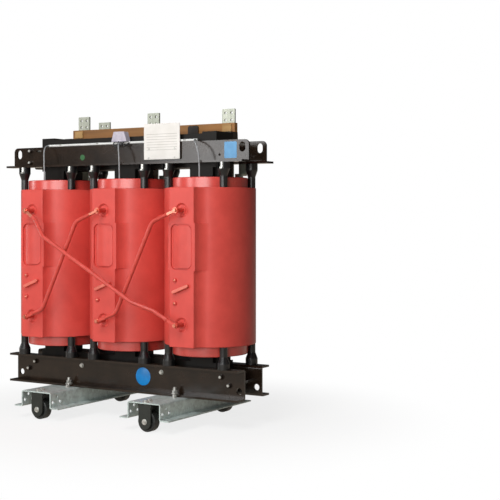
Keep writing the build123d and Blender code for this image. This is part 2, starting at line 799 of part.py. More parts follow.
fork_y = skid_length / 2 - fork_inset - fork_outer / 2
forks = []
axles = []
for end, sy in (("front", -1), ("back", 1)):
    for side, x in skid_places.items():
        where = Pos(x, sy * fork_y, 0)
        nodes["roller_" + end + "_" + side] = where * roller
        forks.append(where * fork)
        axles.append(where * axle)
nodes["roller_brackets"] = Compound(children=forks)
nodes["roller_axles"] = Compound(children=axles)

os.makedirs("parts", exist_ok=True)
for name, shape in nodes.items():
    export_step(shape, "parts/" + name + ".step")
    print(name)
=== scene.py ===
# %% [markdown]
# # A cast-resin transformer, finished in Blender
#
# The shapes of the big pieces come from the CAD model. This lesson loads them,
# looks at them through the right camera, gives every piece a surface made of
# shader nodes, and adds the small pieces that a fitter would add last: leads,
# nuts, bolts, clips and labels. Sizes of pieces and patterns are written in
# real millimetres, and one number turns them into Blender's metres.

# %% Load the CAD model
import math

import bmesh
import bpy
from mathutils import Matrix, Vector


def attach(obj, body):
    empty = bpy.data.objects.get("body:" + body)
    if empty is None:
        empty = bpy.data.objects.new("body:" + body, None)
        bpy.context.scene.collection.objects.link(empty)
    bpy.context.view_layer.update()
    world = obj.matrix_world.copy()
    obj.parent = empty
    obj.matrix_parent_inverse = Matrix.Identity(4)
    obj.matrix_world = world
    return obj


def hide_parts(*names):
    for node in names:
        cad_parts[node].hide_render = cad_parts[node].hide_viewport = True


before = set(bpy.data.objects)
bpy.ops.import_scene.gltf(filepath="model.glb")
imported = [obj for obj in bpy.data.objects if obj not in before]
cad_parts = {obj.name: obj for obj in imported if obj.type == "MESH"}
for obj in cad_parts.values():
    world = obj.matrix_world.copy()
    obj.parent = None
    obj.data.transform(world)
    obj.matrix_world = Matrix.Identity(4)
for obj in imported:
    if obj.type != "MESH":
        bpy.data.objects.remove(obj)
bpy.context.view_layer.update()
MM = 0.001
scene = bpy.context.scene

# %% [markdown]
# ## The camera
#
# A picture can only be compared with a photograph that was taken from the same
# place. This camera stands a little over 5.9 m away, at about the height of
# the upper third of the windings, and looks level, so upright edges stay
# upright. The lens is shifted down instead of tilted, as an architect's lens
# would be.

# %% Camera
lens = bpy.data.cameras.new("level_camera")
lens.lens = 82.82
lens.sensor_width = 36.0
lens.shift_y = -0.0657
lens.clip_end = 200.0
camera = bpy.data.objects.new("level_camera", lens)
camera.location = (3.584, -4.728, 1.0154)
camera.rotation_euler = (math.radians(90.0), 0.0, math.radians(31.409))
scene.collection.objects.link(camera)
scene.camera = camera
print("camera at", tuple(round(v, 3) for v in camera.location))

# %% [markdown]
# ## The sensor leads
#
# A thin lead drops from the conduit to a sensor inside each winding. It is
# flexible, so it is drawn as a curve and not as a solid. The control points of
# each curve are the points of the route in the CAD model. A spline of order 3
# only leans towards its control points, which gives the soft sag of a cable.
# The thickness of a curve is its bevel depth times the radius of its points. A
# depth of one metre and a radius of half the cable gives the same tube as the
# other way round, but Blender's box around the curve then has the right size.

# %% Leads as curves
LEAD_ACROSS = 7.0
CONDUIT_FRONT, CONDUIT_LEVEL = -88.0, 1392.0
LEAD_FRONT, TUBE_TOP = -155.675, 1208.0
DRIFT_SHARES = (0.0, 0.0, 0.55, 0.92, 1.0, 1.0)
REACH_SHARES = (0.0, 0.3, 0.8, 1.0, 1.0, 1.0)
DROP_SHARES = (0.0, 0.0, 0.12, 0.36, 0.66, 1.0)
leads = []
for side, start, hang in (("left", -497.0, -468.0), ("middle", -14.0, 26.0),
                          ("right", 441.0, 508.0)):
    route = [Vector((start + (hang - start) * drift,
                     CONDUIT_FRONT + (LEAD_FRONT - CONDUIT_FRONT) * reach,
                     CONDUIT_LEVEL + (TUBE_TOP - CONDUIT_LEVEL) * drop)) * MM
             for drift, reach, drop in zip(
                 DRIFT_SHARES, REACH_SHARES, DROP_SHARES)]
    curve = bpy.data.curves.new("lead_" + side, "CURVE")
    curve.dimensions = "3D"
    curve.resolution_u = 12
    curve.bevel_depth = 1.0
    curve.bevel_resolution = 5
    curve.use_fill_caps = True
    spline = curve.splines.new("NURBS")
    spline.points.add(len(route) - 1)
    for point, place in zip(spline.points, route):
        point.co = (*place, 1.0)
        point.radius = LEAD_ACROSS / 2 * MM
    spline.order_u = 3
    spline.use_endpoint_u = True
    lead = bpy.data.objects.new("lead_" + side, curve)
    scene.collection.objects.link(lead)
    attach(lead, "frame")
    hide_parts("sensor_leads")
    leads.append(lead)

# %% [markdown]
# ## Tools for surfaces
#
# Colours are written as the hex numbers that a colour picker shows. Blender
# calculates with light, so one function turns them into linear values. A
# second function adds a shader node, sets it up and links it. A third turns
# the size of a pattern on the real thing into the scale of a texture node: a
# texture with scale 1 repeats about once a metre, so a 20 mm pattern needs
# scale 50. The last one builds a whole surface out of two close tones and a
# fine grain.

# %% Colour, node and pattern helpers


def srgb(code):
    """A hex colour as linear red, green, blue and alpha."""
    parts = [int(code[i:i + 2], 16) / 255 for i in (1, 3, 5)]
    return tuple(p / 12.92 if p <= 0.04045 else ((p + 0.055) / 1.055) ** 2.4
                 for p in parts) + (1.0,)


def add(tree, kind, inputs=None, **settings):
    """Adds a node, with its settings, its constants and its links."""
    node = tree.nodes.new(kind)
    for name, value in settings.items():
        setattr(node, name, value)
    for name, value in (inputs or {}).items():
        if isinstance(value, bpy.types.NodeSocket):
            tree.links.new(value, node.inputs[name])
        else:
            node.inputs[name].default_value = value
    return node


def repeats(size_mm):
    """The texture scale that makes a pattern of this real size."""
    return 1.0 / (size_mm * MM)


# The two colour inputs and the colour output of a Mix node.
MIX_A, MIX_B, MIX_OUT = 6, 7, 2


def surface(name, light, dark, patch_mm, grain_mm, gloss, bump_mm,
            stretch=(1.0, 1.0, 1.0), **shader):
    """A surface of two close tones in soft patches, with a finer grain that
    changes the gloss and the relief. Returns the material, and the sockets
    that later cells may build on."""
    material = bpy.data.materials.new(name)
    material.use_nodes = True
    tree = material.node_tree
    tree.nodes.clear()
    place = add(tree, "ShaderNodeTexCoord")
    along = add(tree, "ShaderNodeMapping", {
        "Vector": place.outputs["Object"], "Scale": stretch})
    patch = add(tree, "ShaderNodeTexNoise", {
        "Vector": along.outputs["Vector"], "Scale": repeats(patch_mm),
        "Detail": 4.0, "Roughness": 0.55})
    grain = add(tree, "ShaderNodeTexNoise", {
        "Vector": along.outputs["Vector"], "Scale": repeats(grain_mm),
        "Detail": 3.0})
    share = add(tree, "ShaderNodeMapRange", {
        "Value": patch.outputs["Fac"], "From Min": 0.35, "From Max": 0.65})
    tone = add(tree, "ShaderNodeMix", {
        0: share.outputs["Result"], MIX_A: srgb(dark), MIX_B: srgb(light)},
        data_type="RGBA")
    rough = add(tree, "ShaderNodeMapRange", {
        "Value": grain.outputs["Fac"], "From Min": 0.3, "From Max": 0.7,
        "To Min": gloss[0], "To Max": gloss[1]})
    relief = add(tree, "ShaderNodeBump", {
        "Height": grain.outputs["Fac"], "Strength": 1.0,
        "Distance": bump_mm * MM})
    skin = add(tree, "ShaderNodeBsdfPrincipled", {
        "Base Color": tone.outputs[MIX_OUT],
        "Roughness": rough.outputs["Result"],
        "Normal": relief.outputs["Normal"], **shader})
    add(tree, "ShaderNodeOutputMaterial", {"Surface": skin.outputs["BSDF"]})
    return material, tree, {"place": place.outputs["Object"], "tone": tone,
                            "rough": rough, "relief": relief, "skin": skin}


print("helpers ready; a 20 mm pattern has scale", repeats(20.0))

# %% [markdown]
# ## Resin
#
# The windings are cast in filled epoxy resin, which comes out of its mould
# with a fine, even, silky skin. The red is in the resin, so it varies only a
# little. The inner tubes are smoother than the outer ones and shine more. The
# rods wear a shrunk sleeve of the same red, with a soft sheen. The links
# between the tapping studs are a lighter salmon red all over, a painted
# highlight that stands in for the light along their tops.

# %% Red resins and the rod sleeve
cast_resin, _, _ = surface(
    "epoxy_resin_cast_in_a_mould", "#D94F46", "#CF4941", 90.0, 3.0,
    (0.38, 0.46), 0.05, **{"Specular IOR Level": 0.4})
inner_resin, _, _ = surface(
    "epoxy_resin_gloss_cast", "#D64A41", "#CC443C", 60.0, 4.0,
    (0.26, 0.34), 0.03, **{"Specular IOR Level": 0.9})
rod_sleeve, _, _ = surface(
    "shrunk_polyolefin_sleeve", "#D44A3F", "#C64238", 30.0, 5.0,
    (0.30, 0.42), 0.10)
# Painted highlight: a lighter salmon red on the whole tap link stands in for
# the light along its top.
salmon_link_painted_highlight, _, _ = surface(
    "red_sleeve_lightened_as_painted_highlight", "#E67666", "#DC6C5C", 20.0, 3.0,
    (0.26, 0.36), 0.04)
print("red surfaces:", cast_resin.name, inner_resin.name, rod_sleeve.name,
      salmon_link_painted_highlight.name)

# %% [markdown]
# ## Painted and plated steel
#
# The clamps are brushed with a satin, nearly black paint, and the brackets of
# the rollers with a greener black. Bolts are zinc plated, which leaves a thin,
# silvery and slightly uneven coat. The rollers are turned from cast iron and
# painted, so they are dull and nearly black.

# %% Paints, zinc and iron
clamp_paint, _, _ = surface(
    "satin_black_enamel_on_folded_steel", "#2B2018", "#1E1610", 70.0, 6.0,
    (0.16, 0.24), 0.04)
core_paint, core_tree, core = surface(
    "varnished_core_sheet_stacked", "#15120F", "#0E0C0A", 60.0, 5.0,
    (0.38, 0.50), 0.05, **{"Specular IOR Level": 0.2})
bracket_paint, _, _ = surface(
    "black_green_enamel_on_bent_plate", "#252A26", "#1B1F1C", 40.0, 4.0,
    (0.36, 0.50), 0.06)
zinc, _, _ = surface(
    "zinc_plated_and_passivated_steel", "#D8D9D5", "#C0C1BC", 9.0, 2.0,
    (0.28, 0.40), 0.02, Metallic=0.7)
roller_iron, _, _ = surface(
    "turned_cast_iron_painted_dark", "#2E302F", "#1E2020", 12.0, 1.5,
    (0.42, 0.60), 0.05)
print("metals:", clamp_paint.name, core_paint.name, bracket_paint.name,
      zinc.name, roller_iron.name)

# %% [markdown]
# The core is a stack of sheets only 0.3 mm thick. Lines that fine would melt
# into a flicker in the picture, so packs of sheets are drawn instead. A
# ping-pong node folds the depth back and forth every 5 mm, which leaves a line
# every 10 mm. The stack is built up from front to back, so the folds follow
# the Y axis.

# %% Sheet edges on the core
SHEET_STEP, SHEET_LINE, SHEET_GROOVE = 5.0, 1.2, 0.3
depth = add(core_tree, "ShaderNodeSeparateXYZ", {0: core["place"]})
saw = add(core_tree, "ShaderNodeMath", {
    0: depth.outputs["Y"], 1: SHEET_STEP * MM}, operation="PINGPONG")
edge = add(core_tree, "ShaderNodeMapRange", {
    "Value": saw.outputs["Value"], "From Max": SHEET_LINE * MM})
grooves = add(core_tree, "ShaderNodeBump", {
    "Height": edge.outputs["Result"], "Distance": SHEET_GROOVE * MM,
    "Normal": core["relief"].outputs["Normal"]})
core_tree.links.new(grooves.outputs["Normal"], core["skin"].inputs["Normal"])
print("core sheet edges fold every", SHEET_STEP, "mm")

# %% [markdown]
# ## Galvanised skids
#
# Steel that was dipped in molten zinc is covered with frozen crystals, called
# spangle. They are flat patches about 14 mm across, each a slightly different
# grey. A Voronoi texture makes cells like that, and the cell's own random
# value picks its grey.

# %% Spangle
SPANGLE = 14.0
galvanised, zinc_tree, dip = surface(
    "hot_dip_galvanised_steel", "#D4E2DF", "#C2D0CD", 50.0, 4.0,
    (0.36, 0.50), 0.04, Metallic=0.3)
cells = add(zinc_tree, "ShaderNodeTexVoronoi", {
    "Vector": dip["place"], "Scale": repeats(SPANGLE)})
cell_value = add(zinc_tree, "ShaderNodeSeparateColor", {
    0: cells.outputs["Color"]})
cell_tone = add(zinc_tree, "ShaderNodeMapRange", {
    "Value": cell_value.outputs[0], "To Min": 0.80, "To Max": 1.06})
spangle = add(zinc_tree, "ShaderNodeMix", {
    0: 1.0, MIX_A: dip["tone"].outputs[MIX_OUT],
    MIX_B: cell_tone.outputs["Result"]}, data_type="RGBA",
    blend_type="MULTIPLY")
zinc_tree.links.new(spangle.outputs[MIX_OUT],
                    dip["skin"].inputs["Base Color"])
print("spangle cells are", SPANGLE, "mm wide")

# %% [markdown]
# ## Copper and tinned bars
#
# The rods end in copper lugs. The lower lugs were dipped in red lacquer, and a
# height in the shader divides them from the bare upper ones. The low-voltage
# bars are tinned, which turns them a pale, faintly green silver with fine
# lines along the bar from the mill. Stretching the noise along Z makes those
# lines.

# %% Copper, lacquer and tin
DIPPED_BELOW, DIP_RED = 800.0, "#D44A3F"
copper, _, _ = surface(
    "pressed_copper_lug", "#E3917C", "#CE7A68", 8.0, 2.0,
    (0.28, 0.40), 0.03, Metallic=1.0)
lug_copper, lug_tree, lug = surface(
    "copper_lug_lacquered_below", "#E3917C", "#CE7A68", 8.0, 2.0,
    (0.28, 0.40), 0.03)
lug_place = add(lug_tree, "ShaderNodeSeparateXYZ", {0: lug["place"]})
bare = add(lug_tree, "ShaderNodeMath", {
    0: lug_place.outputs["Z"], 1: DIPPED_BELOW * MM},
    operation="GREATER_THAN")
lug_tone = add(lug_tree, "ShaderNodeMix", {
    0: bare.outputs["Value"], MIX_A: srgb(DIP_RED),
    MIX_B: lug["tone"].outputs[MIX_OUT]}, data_type="RGBA")
lug_tree.links.new(lug_tone.outputs[MIX_OUT],
                   lug["skin"].inputs["Base Color"])
lug_tree.links.new(bare.outputs["Value"], lug["skin"].inputs["Metallic"])
tinned, _, _ = surface(
    "tinned_rolled_bar", "#BDC1B4", "#A8ADA0", 30.0, 3.0,
    (0.34, 0.46), 0.03, stretch=(1.0, 1.0, 0.08), Metallic=0.6)
print("lugs are lacquered below", DIPPED_BELOW, "mm")

# %% [markdown]
# ## Plastics
#
# The posts are moulded in a black resin with a soft sheen, which shows as a
# pale stripe down each one. The feet of the beam are a pressed laminate, which
# stays dull. The conduit is white plastic pipe and the little box on it is a
# milky, slightly violet moulding that lets some light through. Cable sheaths
# are soft plastic with a low sheen. The labels are smooth vinyl film in flat
# colours.

# %% Mouldings
post_resin, _, _ = surface(
    "black_moulded_resin", "#1B1C1E", "#121314", 25.0, 2.5,
    (0.26, 0.36), 0.03)
foot_resin, _, _ = surface(
    "dark_pressed_laminate", "#2A211B", "#1D1713", 30.0, 3.0,
    (0.42, 0.58), 0.05)
white_pipe, _, _ = surface(
    "extruded_white_plastic", "#E6E7E5", "#DADCDA", 40.0, 4.0,
    (0.36, 0.46), 0.03)
lead_skin, _, _ = surface(
    "grey_cable_sheath", "#9A9C9E", "#888A8D", 20.0, 2.0,
    (0.38, 0.50), 0.04)
milky, _, _ = surface(
    "milky_polycarbonate_moulding", "#C2BDC8", "#B0ABB8", 25.0, 3.0,
    (0.24, 0.34), 0.03, **{"Subsurface Weight": 0.3,
                           "Subsurface Radius": (0.004, 0.004, 0.005)})
black_sheath, _, _ = surface(
    "black_cable_sheath", "#26272A", "#1A1B1D", 15.0, 2.0,
    (0.36, 0.48), 0.04)
blue_vinyl, _, _ = surface(
    "printed_blue_vinyl", "#1090E0", "#0C84D2", 30.0, 2.0,
    (0.30, 0.40), 0.01)
pale_vinyl, _, _ = surface(
    "printed_pale_blue_vinyl", "#5A9CCB", "#4F90C0", 30.0, 2.0,
    (0.30, 0.40), 0.01)
green_vinyl, _, _ = surface(
    "printed_green_vinyl", "#2F6B3A", "#275F32", 20.0, 2.0,
    (0.30, 0.40), 0.01)
print("mouldings:", post_resin.name, foot_resin.name, white_pipe.name,
      milky.name)
print("sheaths:", lead_skin.name, black_sheath.name)
print("films:", blue_vinyl.name, pale_vinyl.name, green_vinyl.name)

# %% [markdown]
# ## Wood
#
# The beam that steadies the bars is a plank. Its grain runs along X. Noise
# that is stretched about thirty times along X gives long fibres. A wave
# texture adds the broad bands that growth rings leave on a sawn face. At scale
# 1 it runs through 20 radians a metre, and a full turn makes one band. The
# small plates on the beam are pressed paper board, which is flat, pale and
# dull.

# %% Sawn and oiled plank
BAND_WIDTH, WAVE_RADIANS = 138.23, 20.0
beam_wood, wood_tree, wood = surface(
    "sawn_and_oiled_hardwood", "#9C6C38", "#7A5026", 40.0, 3.0,
    (0.46, 0.62), 0.12, stretch=(0.03, 1.0, 1.0))
growth = add(wood_tree, "ShaderNodeTexWave", {
    "Vector": wood["place"],
    "Scale": math.tau * repeats(BAND_WIDTH) / WAVE_RADIANS,
    "Distortion": 6.0, "Detail": 2.0}, bands_direction="Z")
ring_share = add(wood_tree, "ShaderNodeMapRange", {
    "Value": growth.outputs["Fac"], "To Min": 0.78, "To Max": 1.05})
ringed = add(wood_tree, "ShaderNodeMix", {
    0: 1.0, MIX_A: wood["tone"].outputs[MIX_OUT],
    MIX_B: ring_share.outputs["Result"]}, data_type="RGBA",
    blend_type="MULTIPLY")
wood_tree.links.new(ringed.outputs[MIX_OUT], wood["skin"].inputs["Base Color"])
tan_board, _, _ = surface(
    "pressed_paper_board", "#B48E58", "#A27C48", 20.0, 2.0,
    (0.44, 0.58), 0.05, stretch=(0.2, 1.0, 1.0))
print("growth bands on the beam are", round(BAND_WIDTH), "mm wide")

# %% [markdown]
# ## The rating plate
#
# The plate is a sheet of white-coated aluminium with a ruled table. Only the
# empty rules are drawn. They sit at real places on the plate: thin lines every
# 13 mm below a bare heading, with bare margins at the sides and at the foot.

# %% Ruled plate
plate_white, plate_tree, sheet = surface(
    "white_coated_aluminium_sheet", "#E6E3DE", "#DEDBD5", 60.0, 3.0,
    (0.34, 0.44), 0.01)
PLATE_X, PLATE_TOP = 243.0, 1480.0
ROW_STEP, RULE_THICK, RULE_STRENGTH = 13.0, 1.6, 0.75
HEADING, RULED_DOWN_TO, RULED_HALF = 45.0, 138.0, 92.0
on_plate = add(plate_tree, "ShaderNodeSeparateXYZ", {0: sheet["place"]})
down = add(plate_tree, "ShaderNodeMath", {
    0: PLATE_TOP * MM, 1: on_plate.outputs["Z"]}, operation="SUBTRACT")
across = add(plate_tree, "ShaderNodeMath", {
    0: on_plate.outputs["X"], 1: PLATE_X * MM}, operation="SUBTRACT")
aside = add(plate_tree, "ShaderNodeMath", {
    0: across.outputs["Value"]}, operation="ABSOLUTE")
in_row = add(plate_tree, "ShaderNodeMath", {
    0: down.outputs["Value"], 1: ROW_STEP * MM}, operation="FLOORED_MODULO")
on_rule = add(plate_tree, "ShaderNodeMath", {
    0: in_row.outputs["Value"], 1: RULE_THICK * MM}, operation="LESS_THAN")
below_head = add(plate_tree, "ShaderNodeMath", {
    0: down.outputs["Value"], 1: HEADING * MM}, operation="GREATER_THAN")
above_foot = add(plate_tree, "ShaderNodeMath", {
    0: down.outputs["Value"], 1: RULED_DOWN_TO * MM}, operation="LESS_THAN")
inside = add(plate_tree, "ShaderNodeMath", {
    0: aside.outputs["Value"], 1: RULED_HALF * MM}, operation="LESS_THAN")
rule = on_rule
for limit in (below_head, above_foot, inside):
    rule = add(plate_tree, "ShaderNodeMath", {
        0: rule.outputs["Value"], 1: limit.outputs["Value"]},
        operation="MULTIPLY")
faint = add(plate_tree, "ShaderNodeMath", {
    0: rule.outputs["Value"], 1: RULE_STRENGTH}, operation="MULTIPLY")
ruled = add(plate_tree, "ShaderNodeMix", {
    0: faint.outputs["Value"], MIX_A: sheet["tone"].outputs[MIX_OUT],
    MIX_B: srgb("#7A736A")}, data_type="RGBA")
plate_tree.links.new(ruled.outputs[MIX_OUT],
                     sheet["skin"].inputs["Base Color"])
print("plate ruled every", ROW_STEP, "mm")

# %% [markdown]
# ## Dressing the CAD pieces
#
# Each CAD piece gets the surface of its real material. Sheet metal, bars,
# the core, the box and the feet of the beam never have razor edges, so on
# these pieces a bevel of about a millimetre is added where two faces meet
# sharply.
# It catches light and hardly changes the outline.

# %% Materials and edge bevels on the CAD pieces
dress = {
    "core_": core_paint, "yoke_straps": core_paint, "lv_winding": inner_resin,
    "hv_winding": cast_resin, "tap_links": salmon_link_painted_highlight,
    "delta_rod": rod_sleeve, "terminal_studs": rod_sleeve,
    "rod_lugs": lug_copper,
    "upper_clamp": clamp_paint, "lower_clamp": clamp_paint,
    "clamp_ties": zinc, "winding_posts": post_resin, "jack_screws": zinc,
    "lv_bar": tinned, "lv_support_beam": beam_wood, "beam_feet": foot_resin,
    "lv_neutral_bar": tinned, "neutral_links": tinned,
    "neutral_standoff": foot_resin, "rating_plate": plate_white,
    "sensor_conduit": white_pipe, "sensor_box": milky,
    "sensor_leads": lead_skin, "skid_": galvanised,
    "roller_brackets": bracket_paint, "roller_axles": zinc,
    "roller_front": roller_iron, "roller_back": roller_iron,
}
edges = {"upper_clamp": 1.2, "lower_clamp": 1.2, "skid_": 0.8,
         "roller_brackets": 1.0, "lv_bar": 0.8, "lv_neutral": 0.8,
         "sensor_box": 1.5, "beam_feet": 1.2, "core_yoke": 0.8}
for name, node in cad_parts.items():
    material = next(m for start, m in dress.items() if name.startswith(start))
    node.data.materials.clear()
    node.data.materials.append(material)
    for start, width in edges.items():
        if name.startswith(start):
            soft = node.modifiers.new("eased_edges", "BEVEL")
            soft.width = width * MM
            soft.segments = 2
            soft.limit_method = "ANGLE"
            soft.angle_limit = math.radians(40.0)
for lead in leads:
    lead.data.materials.append(lead_skin)
print("dressed", len(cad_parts), "CAD pieces")

# %% [markdown]
# ## Tools for turned pieces
#
# Nuts, washers and studs are all stacks of rings: a ring of six points makes a
# hexagon, a ring of many points makes a round. One function joins rings into a
# closed body, and the next ones use it for a stack along any direction, a flat
# plate and a nut. The last turns the result into a piece of the object. Places
# that many pieces share come first.

# %% Stacks of rings
WINDINGS = (-468.0, 0.0, 468.0)
SKIDS = (-335.0, 335.0)
SIDES = (-1, 1)
FRONT, BACK, UP = (0, -1, 0), (0, 1, 0), (0, 0, 1)
# Distance from the middle of the core to the outer face of a clamp.
WEB = 85.0
# Shares of the width of a nut across its flats.
NUT_HIGH, WASHER_HIGH, THREAD_HALF, THREAD_TIP = 0.62, 0.11, 0.33, 0.27


def join(bm, rings):
    """Faces between rings of equal length, and a lid on both ends."""
    for low, high in zip(rings, rings[1:]):
        for i in range(len(low)):
            j = (i + 1) % len(low)
            bm.faces.new((low[i], low[j], high[j], high[i]))
    bm.faces.new(list(reversed(rings[0])))
    bm.faces.new(rings[-1])


def stack(bm, place, axis, sides, profile):
    """Rings of points at (radius, height), closed at both ends, in mm."""
    turn = Vector(axis).to_track_quat("Z", "Y").to_matrix().to_4x4()
    seat = Matrix.Translation(Vector(place) * MM) @ turn
    rings = []
    for radius, height in profile:
        rings.append([bm.verts.new(seat @ (Vector((
            radius * math.cos(2 * math.pi * i / sides),
            radius * math.sin(2 * math.pi * i / sides), height)) * MM))
            for i in range(sides)])
    join(bm, rings)


def plate(bm, outline, near, far):
    """A flat body with an outline in X and Z, from depth near to far."""
    join(bm, [[bm.verts.new(Vector((x, depth, z)) * MM) for x, z in outline]
              for depth in (near, far)])


def nut(bm, place, axis, across_flats, washer=None, thread=None, high=None):
    """A hexagon with broken corners on its washer, and the end of its stud."""
    point = across_flats / math.sqrt(3.0)
    high = high or across_flats * NUT_HIGH
    base = 0.0
    if washer:
        base = across_flats * WASHER_HIGH
        stack(bm, place, axis, 28, [
            (washer / 2, 0.0), (washer / 2, base * 0.7),
            (washer / 2 - base * 0.3, base)])
    stack(bm, place, axis, 6, [
        (point * 0.93, base), (point, base + high * 0.1),
        (point, base + high * 0.88), (point * 0.9, base + high)])
    if thread:
        top = base + high + thread
        stack(bm, place, axis, 20, [
            (across_flats * THREAD_HALF, base + high * 0.9),
            (across_flats * THREAD_HALF, top - 1.5),
            (across_flats * THREAD_TIP, top)])


def piece(name, bm, material, body="frame"):
    """Makes one piece of the object out of drawn points."""
    bmesh.ops.recalc_face_normals(bm, faces=bm.faces)
    mesh = bpy.data.meshes.new(name)
    bm.to_mesh(mesh)
    bm.free()
    mesh.shade_smooth()
    mesh.set_sharp_from_angle(angle=math.radians(32.0))
    mesh.materials.append(material)
    made = bpy.data.objects.new(name, mesh)
    scene.collection.objects.link(made)
    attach(made, body)
    print(name, "has", len(mesh.polygons), "faces")


print("windings at", WINDINGS, "and skids at", SKIDS)

# %% [markdown]
# ## Nuts on the clamps
#
# Tie bolts pull the front and back clamps together beyond the ends of the
# core. Their nuts were painted with the clamps, and only the bright ends of
# the bolts stand out of the paint. At the right end of the front clamp a label
# lies over the bolts, so they end flush there. Two bolts through the lower
# yoke itself were fitted later and stayed bare.

# %% Tie bolts and yoke bolts
UPPER_TIES = ((625.0, 1368.0), (625.0, 1306.0))
LOWER_TIES = ((634.0, 210.0), (588.0, 248.0))
YOKE_BOLTS, YOKE_BOLT_LEVEL = (-273.0, 234.0), 246.0
painted, bright = bmesh.new(), bmesh.new()
for tie in UPPER_TIES + LOWER_TIES:
    for side in SIDES:
        for axis in (FRONT, BACK):
            if axis == FRONT and side > 0 and tie in UPPER_TIES:
                continue
            seat = (side * tie[0], axis[1] * WEB, tie[1])
            nut(painted, seat, axis, 21.0, washer=28.0, high=11.0)
            stack(bright, seat, axis, 20, [
                (7.0, 12.0), (7.0, 16.0), (5.8, 17.5)])
for x in YOKE_BOLTS:
    for axis in (FRONT, BACK):
        nut(bright, (x, axis[1] * WEB, YOKE_BOLT_LEVEL), axis, 17.0,
            washer=24.0, high=8.0)
piece("clamp_nuts", painted, clamp_paint)
piece("bolt_ends", bright, zinc)

# %% [markdown]
# ## Nuts on the jack screws
#
# Each upper post is locked by a screw under the flange of the clamp. The screw
# stands in a notch of the post, and a lock nut sits at its foot.

# %% Lock nuts
POST_ASIDE, JACK_OUT, JACK_FOOT = 160.0, 141.2, 1246.5
bm = bmesh.new()
for x in WINDINGS:
    for sx in SIDES:
        for sy in SIDES:
            nut(bm, (x + sx * POST_ASIDE, sy * JACK_OUT, JACK_FOOT), UP, 24.0,
                high=8.0)
piece("lock_nuts", bm, zinc)

# %% [markdown]
# ## Terminal nuts
#
# A nut on a washer holds each copper lug on its stud. The stud grows out of a
# low collar that is cast on the floor of the dish. The tapping studs that no
# link covers show a bright copper tip.

# %% Terminals of the high-voltage windings
TERMINAL_LEVELS, LUG_FRONT, DISH_FLOOR = (1048.0, 505.0), -303.0, -241.0
TAP_LEVELS, TAP_ASIDE, TAP_FRONT = (715.9, 605.9), 35.0, -258.8
terminals = [(x, z) for x in WINDINGS for z in TERMINAL_LEVELS]
bm = bmesh.new()
for x, z in terminals:
    nut(bm, (x, LUG_FRONT, z), FRONT, 17.0, washer=22.0, high=7.0)
piece("terminal_nuts", bm, copper)
bm = bmesh.new()
for x, z in terminals:
    stack(bm, (x, DISH_FLOOR, z), FRONT, 40, [
        (20.0, 0.0), (20.0, 2.6), (18.6, 4.0), (13.0, 4.0), (12.0, 2.5)])
piece("dish_collars", bm, cast_resin)
bm = bmesh.new()
for x in WINDINGS:
    for z in TAP_LEVELS:
        stack(bm, (x - TAP_ASIDE, TAP_FRONT, z), FRONT, 24, [
            (5.6, 0.0), (5.6, 1.0), (4.6, 2.2), (2.6, 3.0), (0.9, 3.2)])
piece("stud_tips", bm, copper)

# %% [markdown]
# ## Coves of the pilasters
#
# A casting never has a sharp inner corner, because resin would crack there.
# The side of each flat pilaster runs out into the round of its tube in a
# hollow curve, and so does the side of the wider band on it. The curve starts
# in the direction of the side and ends in the direction of the tube. It is
# repeated at several heights, drawn in a little at both rims, and closed
# inside the casting.

# %% Hollow curves from pilaster to tube
TUBE, PAD_FACE, PAD_LEAN = 225.0, 250.0, 0.27
PAD_HALF, BAND_HALF = 70.0, 77.0
RIM_LOW, RIM_HIGH = 397.0, 1158.0
BAND_LOW, BAND_HIGH = 761.1, 987.1
COVE_START, COVE_STEPS = 7.0, 16
PAD_TURN, BAND_TURN = 30.0, 32.0
HIDE_UNDER_TUBE, HIDE_UNDER_PAD, HIDE_DEPTH = 0.955, 8.0, 0.92


def cove(half, turn):
    """Points on the hollow curve with their outward directions, in mm. The
    curve meets the tube at an angle of turn degrees from its front."""
    angle = math.radians(turn)
    side_way = Vector((PAD_LEAN, 1.0))
    tube_way = Vector((math.cos(angle), math.sin(angle)))
    start = Vector((half, -PAD_FACE)) + side_way * COVE_START
    end = TUBE * Vector((math.sin(angle), -math.cos(angle)))
    bend = start + side_way * ((end - start).cross(tube_way)
                               / side_way.cross(tube_way))
    points = []
    for i in range(COVE_STEPS + 1):
        s = i / COVE_STEPS
        spot = start * (1 - s) ** 2 + bend * 2 * s * (1 - s) + end * s ** 2
        way = (bend - start) * (1 - s) + (end - bend) * s
        points.append((spot, Vector((way.y, -way.x)).normalized()))
    return points, [end * HIDE_UNDER_TUBE,
                    Vector((half - HIDE_UNDER_PAD, -TUBE * HIDE_DEPTH))]


bm = bmesh.new()
for half, turn, levels in (
        (PAD_HALF, PAD_TURN, (
            (RIM_LOW + 0.3, 4.0), (RIM_LOW + 1.5, 1.6), (RIM_LOW + 4.0, 0.0),
            (RIM_HIGH - 4.0, 0.0), (RIM_HIGH - 1.5, 1.6),
            (RIM_HIGH - 0.3, 4.0))),
        (BAND_HALF, BAND_TURN, (
            (BAND_LOW + 0.4, 1.5), (BAND_LOW + 1.9, 0.0),
            (BAND_HIGH - 1.9, 0.0), (BAND_HIGH - 0.4, 1.5)))):
    points, inside_casting = cove(half, turn)
    for x in WINDINGS:
        for side in SIDES:
            rings = []
            for z, drawn_in in levels:
                flat = [spot - out * drawn_in for spot, out in points]
                rings.append([
                    bm.verts.new(Vector((x + side * p.x, p.y, z)) * MM)
                    for p in flat + inside_casting])
            join(bm, rings)
piece("pilaster_coves", bm, cast_resin)

# %% [markdown]
# ## Bolts of the skids
#
# Tall bolts go up through the skids into the flanges of the lower clamps.
# Their ends and nuts stand on the flanges. Each roller bracket hangs on two
# bolts whose heads show on top of the skid. One more bolt stands beside the
# clamp.

